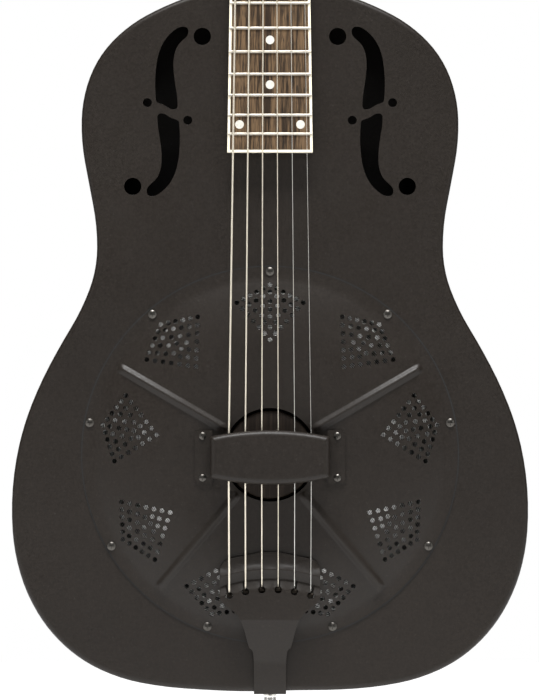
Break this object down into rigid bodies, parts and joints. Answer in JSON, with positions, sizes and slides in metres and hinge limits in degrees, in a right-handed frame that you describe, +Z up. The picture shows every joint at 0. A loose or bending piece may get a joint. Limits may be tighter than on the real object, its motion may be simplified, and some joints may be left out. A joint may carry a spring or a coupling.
{
  "type": "resonator guitar",
  "caption": "Steel-bodied resonator guitar with a perforated cone cover, f-shaped sound holes, a stamped tailpiece and a slotted headstock.",
  "frame": {"origin": "on the strap button's axis, on the outside of the tail, half-way through the body's depth", "axes": "+Z up the neck, -Y out of the face, +X towards the treble side"},
  "size_m": [0.3534, 0.1163, 0.9876],
  "materials": {
    "body_finish": "matte textured powder coat",
    "cone_aluminium": "spun, satin",
    "well_steel": "powder coat",
    "bridge_ebony": "black stained maple",
    "screw_steel": "dark nickel",
    "tuner_nickel": "nickel",
    "cog_brass": "machined",
    "button_black": "gloss",
    "neck_mahogany": "satin",
    "stick_maple": "raw",
    "board_rosewood": "oiled, streaked",
    "binding_cream": "gloss",
    "dot_pearl": "polished",
    "nut_bone": "polished",
    "veneer_black": "satin",
    "fret_nickel": "polished",
    "string_bronze": "wound",
    "string_steel": "plain",
    "rod_steel": "turned"
  },
  "bodies": {
    "root": {"body_top": "body_finish", "body_back": "body_finish", "body_sides": "body_finish", "sound_well": "well_steel", "resonator_cone": "cone_aluminium", "biscuit": "bridge_ebony", "biscuit_screw": "screw_steel", "saddle": "bridge_ebony", "coverplate": "body_finish", "coverplate_screws": "screw_steel", "palm_rest": "body_finish", "palm_rest_screws": "screw_steel", "tailpiece": "body_finish", "strap_button": "tuner_nickel", "neck_stick": "stick_maple", "neck": "neck_mahogany", "headstock_veneer": "veneer_black", "fingerboard": "board_rosewood", "fingerboard_binding": "binding_cream", "frets": "fret_nickel", "position_dots": "dot_pearl", "nut": "nut_bone", "fingerboard_shim": "veneer_black", "truss_rod": "rod_steel", "truss_rod_cover": "veneer_black", "truss_cover_screws": "screw_steel", "tuner_plate_bass": "tuner_nickel", "tuner_plate_treble": "tuner_nickel", "tuner_plate_screws": "tuner_nickel", "string_1": "string_steel", "string_2": "string_steel", "string_3": "string_bronze", "string_4": "string_bronze", "string_5": "string_bronze", "string_6": "string_bronze"},
    "truss_nut": {"truss_rod_nut": "cog_brass"},
    "knob_6": {"worm_shaft_6": "tuner_nickel", "tuner_button_6": "button_black"},
    "post_6": {"string_post_6": "tuner_nickel", "cog_wheel_6": "cog_brass"},
    "knob_5": {"worm_shaft_5": "tuner_nickel", "tuner_button_5": "button_black"},
    "post_5": {"string_post_5": "tuner_nickel", "cog_wheel_5": "cog_brass"},
    "knob_4": {"worm_shaft_4": "tuner_nickel", "tuner_button_4": "button_black"},
    "post_4": {"string_post_4": "tuner_nickel", "cog_wheel_4": "cog_brass"},
    "knob_3": {"worm_shaft_3": "tuner_nickel", "tuner_button_3": "button_black"},
    "post_3": {"string_post_3": "tuner_nickel", "cog_wheel_3": "cog_brass"},
    "knob_2": {"worm_shaft_2": "tuner_nickel", "tuner_button_2": "button_black"},
    "post_2": {"string_post_2": "tuner_nickel", "cog_wheel_2": "cog_brass"},
    "knob_1": {"worm_shaft_1": "tuner_nickel", "tuner_button_1": "button_black"},
    "post_1": {"string_post_1": "tuner_nickel", "cog_wheel_1": "cog_brass"}
  },
  "joints": [
    {"name": "truss_nut_turn", "type": "hinge", "parent": "root", "child": "truss_nut", "pos_m": [0, -0.02204, 0.81861], "axis": [0, 0.0377, 0.9993], "range_deg": [-180, 180]},
    {"name": "knob_6_turn", "type": "hinge", "parent": "root", "child": "knob_6", "pos_m": [-0.0348, -0.00741, 0.86291], "axis": [0, -0.9605, 0.2783], "continuous": true},
    {"name": "post_6_turn", "type": "hinge", "parent": "root", "child": "post_6", "pos_m": [-0.02, -0.00978, 0.85474], "axis": [1, 0, 0], "continuous": true},
    {"name": "knob_5_turn", "type": "hinge", "parent": "root", "child": "knob_5", "pos_m": [-0.0348, 0.00233, 0.89653], "axis": [0, -0.9605, 0.2783], "continuous": true},
    {"name": "post_5_turn", "type": "hinge", "parent": "root", "child": "post_5", "pos_m": [-0.02, -0.00003, 0.88836], "axis": [1, 0, 0], "continuous": true},
    {"name": "knob_4_turn", "type": "hinge", "parent": "root", "child": "knob_4", "pos_m": [-0.0348, 0.01207, 0.93014], "axis": [0, -0.9605, 0.2783], "continuous": true},
    {"name": "post_4_turn", "type": "hinge", "parent": "root", "child": "post_4", "pos_m": [-0.02, 0.00971, 0.92198], "axis": [1, 0, 0], "continuous": true},
    {"name": "knob_3_turn", "type": "hinge", "parent": "root", "child": "knob_3", "pos_m": [0.0348, 0.01207, 0.93014], "axis": [0, -0.9605, 0.2783], "continuous": true},
    {"name": "post_3_turn", "type": "hinge", "parent": "root", "child": "post_3", "pos_m": [0.02, 0.00971, 0.92198], "axis": [1, 0, 0], "continuous": true},
    {"name": "knob_2_turn", "type": "hinge", "parent": "root", "child": "knob_2", "pos_m": [0.0348, 0.00233, 0.89653], "axis": [0, -0.9605, 0.2783], "continuous": true},
    {"name": "post_2_turn", "type": "hinge", "parent": "root", "child": "post_2", "pos_m": [0.02, -0.00003, 0.88836], "axis": [1, 0, 0], "continuous": true},
    {"name": "knob_1_turn", "type": "hinge", "parent": "root", "child": "knob_1", "pos_m": [0.0348, -0.00741, 0.86291], "axis": [0, -0.9605, 0.2783], "continuous": true},
    {"name": "post_1_turn", "type": "hinge", "parent": "root", "child": "post_1", "pos_m": [0.02, -0.00978, 0.85474], "axis": [1, 0, 0], "continuous": true}
  ],
  "couplings": [
    {"joint": "post_6_turn", "follows": "knob_6_turn", "ratio": -0.071429},
    {"joint": "post_5_turn", "follows": "knob_5_turn", "ratio": -0.071429},
    {"joint": "post_4_turn", "follows": "knob_4_turn", "ratio": -0.071429},
    {"joint": "post_3_turn", "follows": "knob_3_turn", "ratio": -0.071429},
    {"joint": "post_2_turn", "follows": "knob_2_turn", "ratio": -0.071429},
    {"joint": "post_1_turn", "follows": "knob_1_turn", "ratio": -0.071429}
  ]
}
